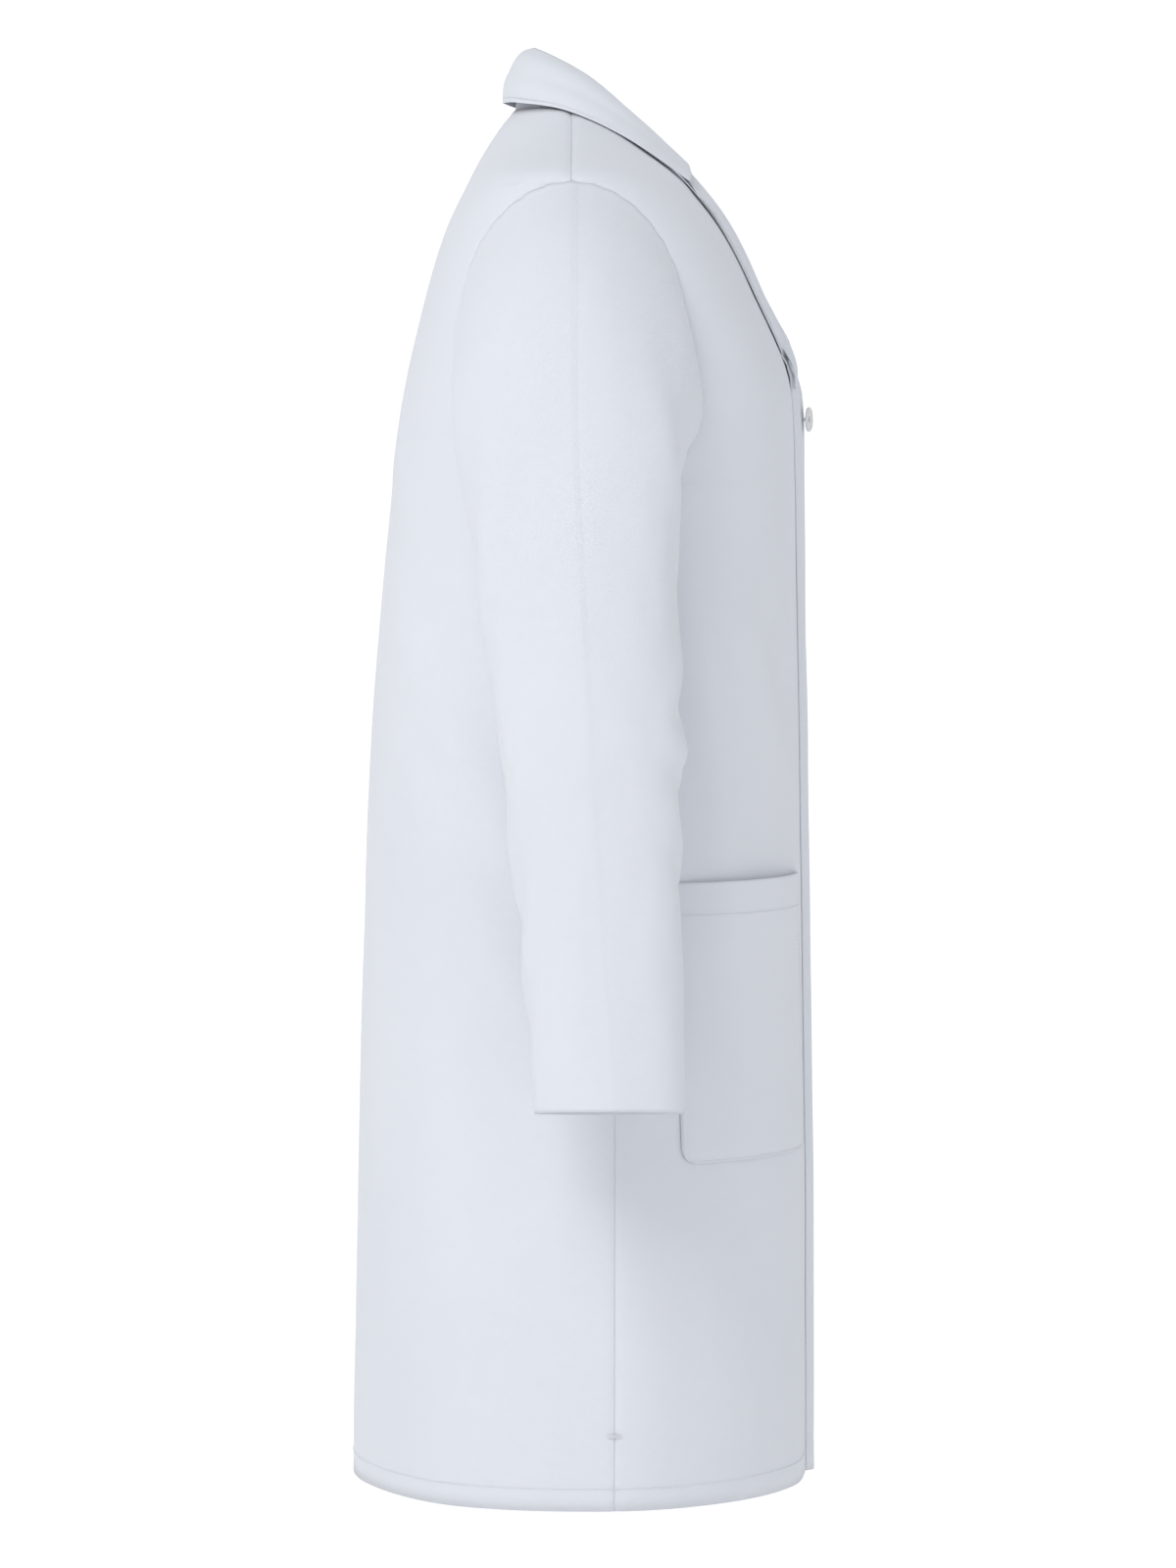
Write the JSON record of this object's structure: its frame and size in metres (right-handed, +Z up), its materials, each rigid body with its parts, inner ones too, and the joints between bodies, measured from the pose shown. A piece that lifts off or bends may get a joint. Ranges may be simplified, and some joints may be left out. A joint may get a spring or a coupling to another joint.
{
  "type": "lab coat",
  "caption": "Knee-length lab coat with a notched collar, long sleeves, patch pockets and a front that closes over a concealed button fly, shaped as if worn.",
  "frame": {"origin": "midway between the shoulders, where the wearer or a coat hanger carries the coat", "axes": "+Z up, front of the coat towards -Y, the wearer's left towards +X"},
  "size_m": [0.7256, 0.331, 1.0215],
  "materials": {
    "cotton": "matte twill",
    "buttons": "satin",
    "thread": "matte"
  },
  "bodies": {
    "coat_body": {"back_panel": "cotton", "back_hem": "cotton", "back_neck_facing": "cotton", "right_front_chest": "cotton", "left_front_chest": "cotton", "right_lapel": "cotton", "left_lapel": "cotton", "collar_stand": "cotton", "collar_fall": "cotton", "chest_pocket": "cotton", "chest_pocket_hem": "cotton", "top_button": "buttons", "top_button_thread": "thread"},
    "right_sleeve": {"right_sleeve": "cotton", "right_sleeve_hem": "cotton"},
    "left_sleeve": {"left_sleeve": "cotton", "left_sleeve_hem": "cotton"},
    "right_front": {"right_front_skirt": "cotton", "right_front_hem": "cotton", "right_front_facing": "cotton", "right_pocket": "cotton", "right_pocket_hem": "cotton", "fly_buttons": "buttons", "fly_button_threads": "thread"},
    "left_front": {"left_front_skirt": "cotton", "left_front_hem": "cotton", "fly_strip": "cotton", "left_pocket": "cotton", "left_pocket_hem": "cotton"},
    "hanger_loop": {"hanger_loop": "cotton"}
  },
  "joints": [
    {"name": "right_sleeve_swing", "type": "hinge", "parent": "coat_body", "child": "right_sleeve", "pos_m": [-0.225, 0.001, -0.118], "axis": [-1, 0, 0], "range_deg": [-20, 35]},
    {"name": "left_sleeve_swing", "type": "hinge", "parent": "coat_body", "child": "left_sleeve", "pos_m": [0.225, 0.001, -0.118], "axis": [-1, 0, 0], "range_deg": [-20, 35]},
    {"name": "left_front_swing", "type": "hinge", "parent": "coat_body", "child": "left_front", "pos_m": [0.219, -0.018, -0.23], "axis": [-0.0436, 0, 0.999], "range_deg": [0, 30], "deforming": ["fly_strip"]},
    {"name": "right_front_swing", "type": "hinge", "parent": "coat_body", "child": "right_front", "pos_m": [-0.219, -0.018, -0.23], "axis": [-0.0436, 0, -0.999], "range_deg": [0, 27]},
    {"name": "hanger_loop_flip", "type": "hinge", "parent": "coat_body", "child": "hanger_loop", "pos_m": [0, 0.044, 0.034], "axis": [-1, 0, 0], "range_deg": [0, 140]}
  ],
  "couplings": [
    {"joint": "right_front_swing", "follows": "left_front_swing", "ratio": 0.9}
  ]
}
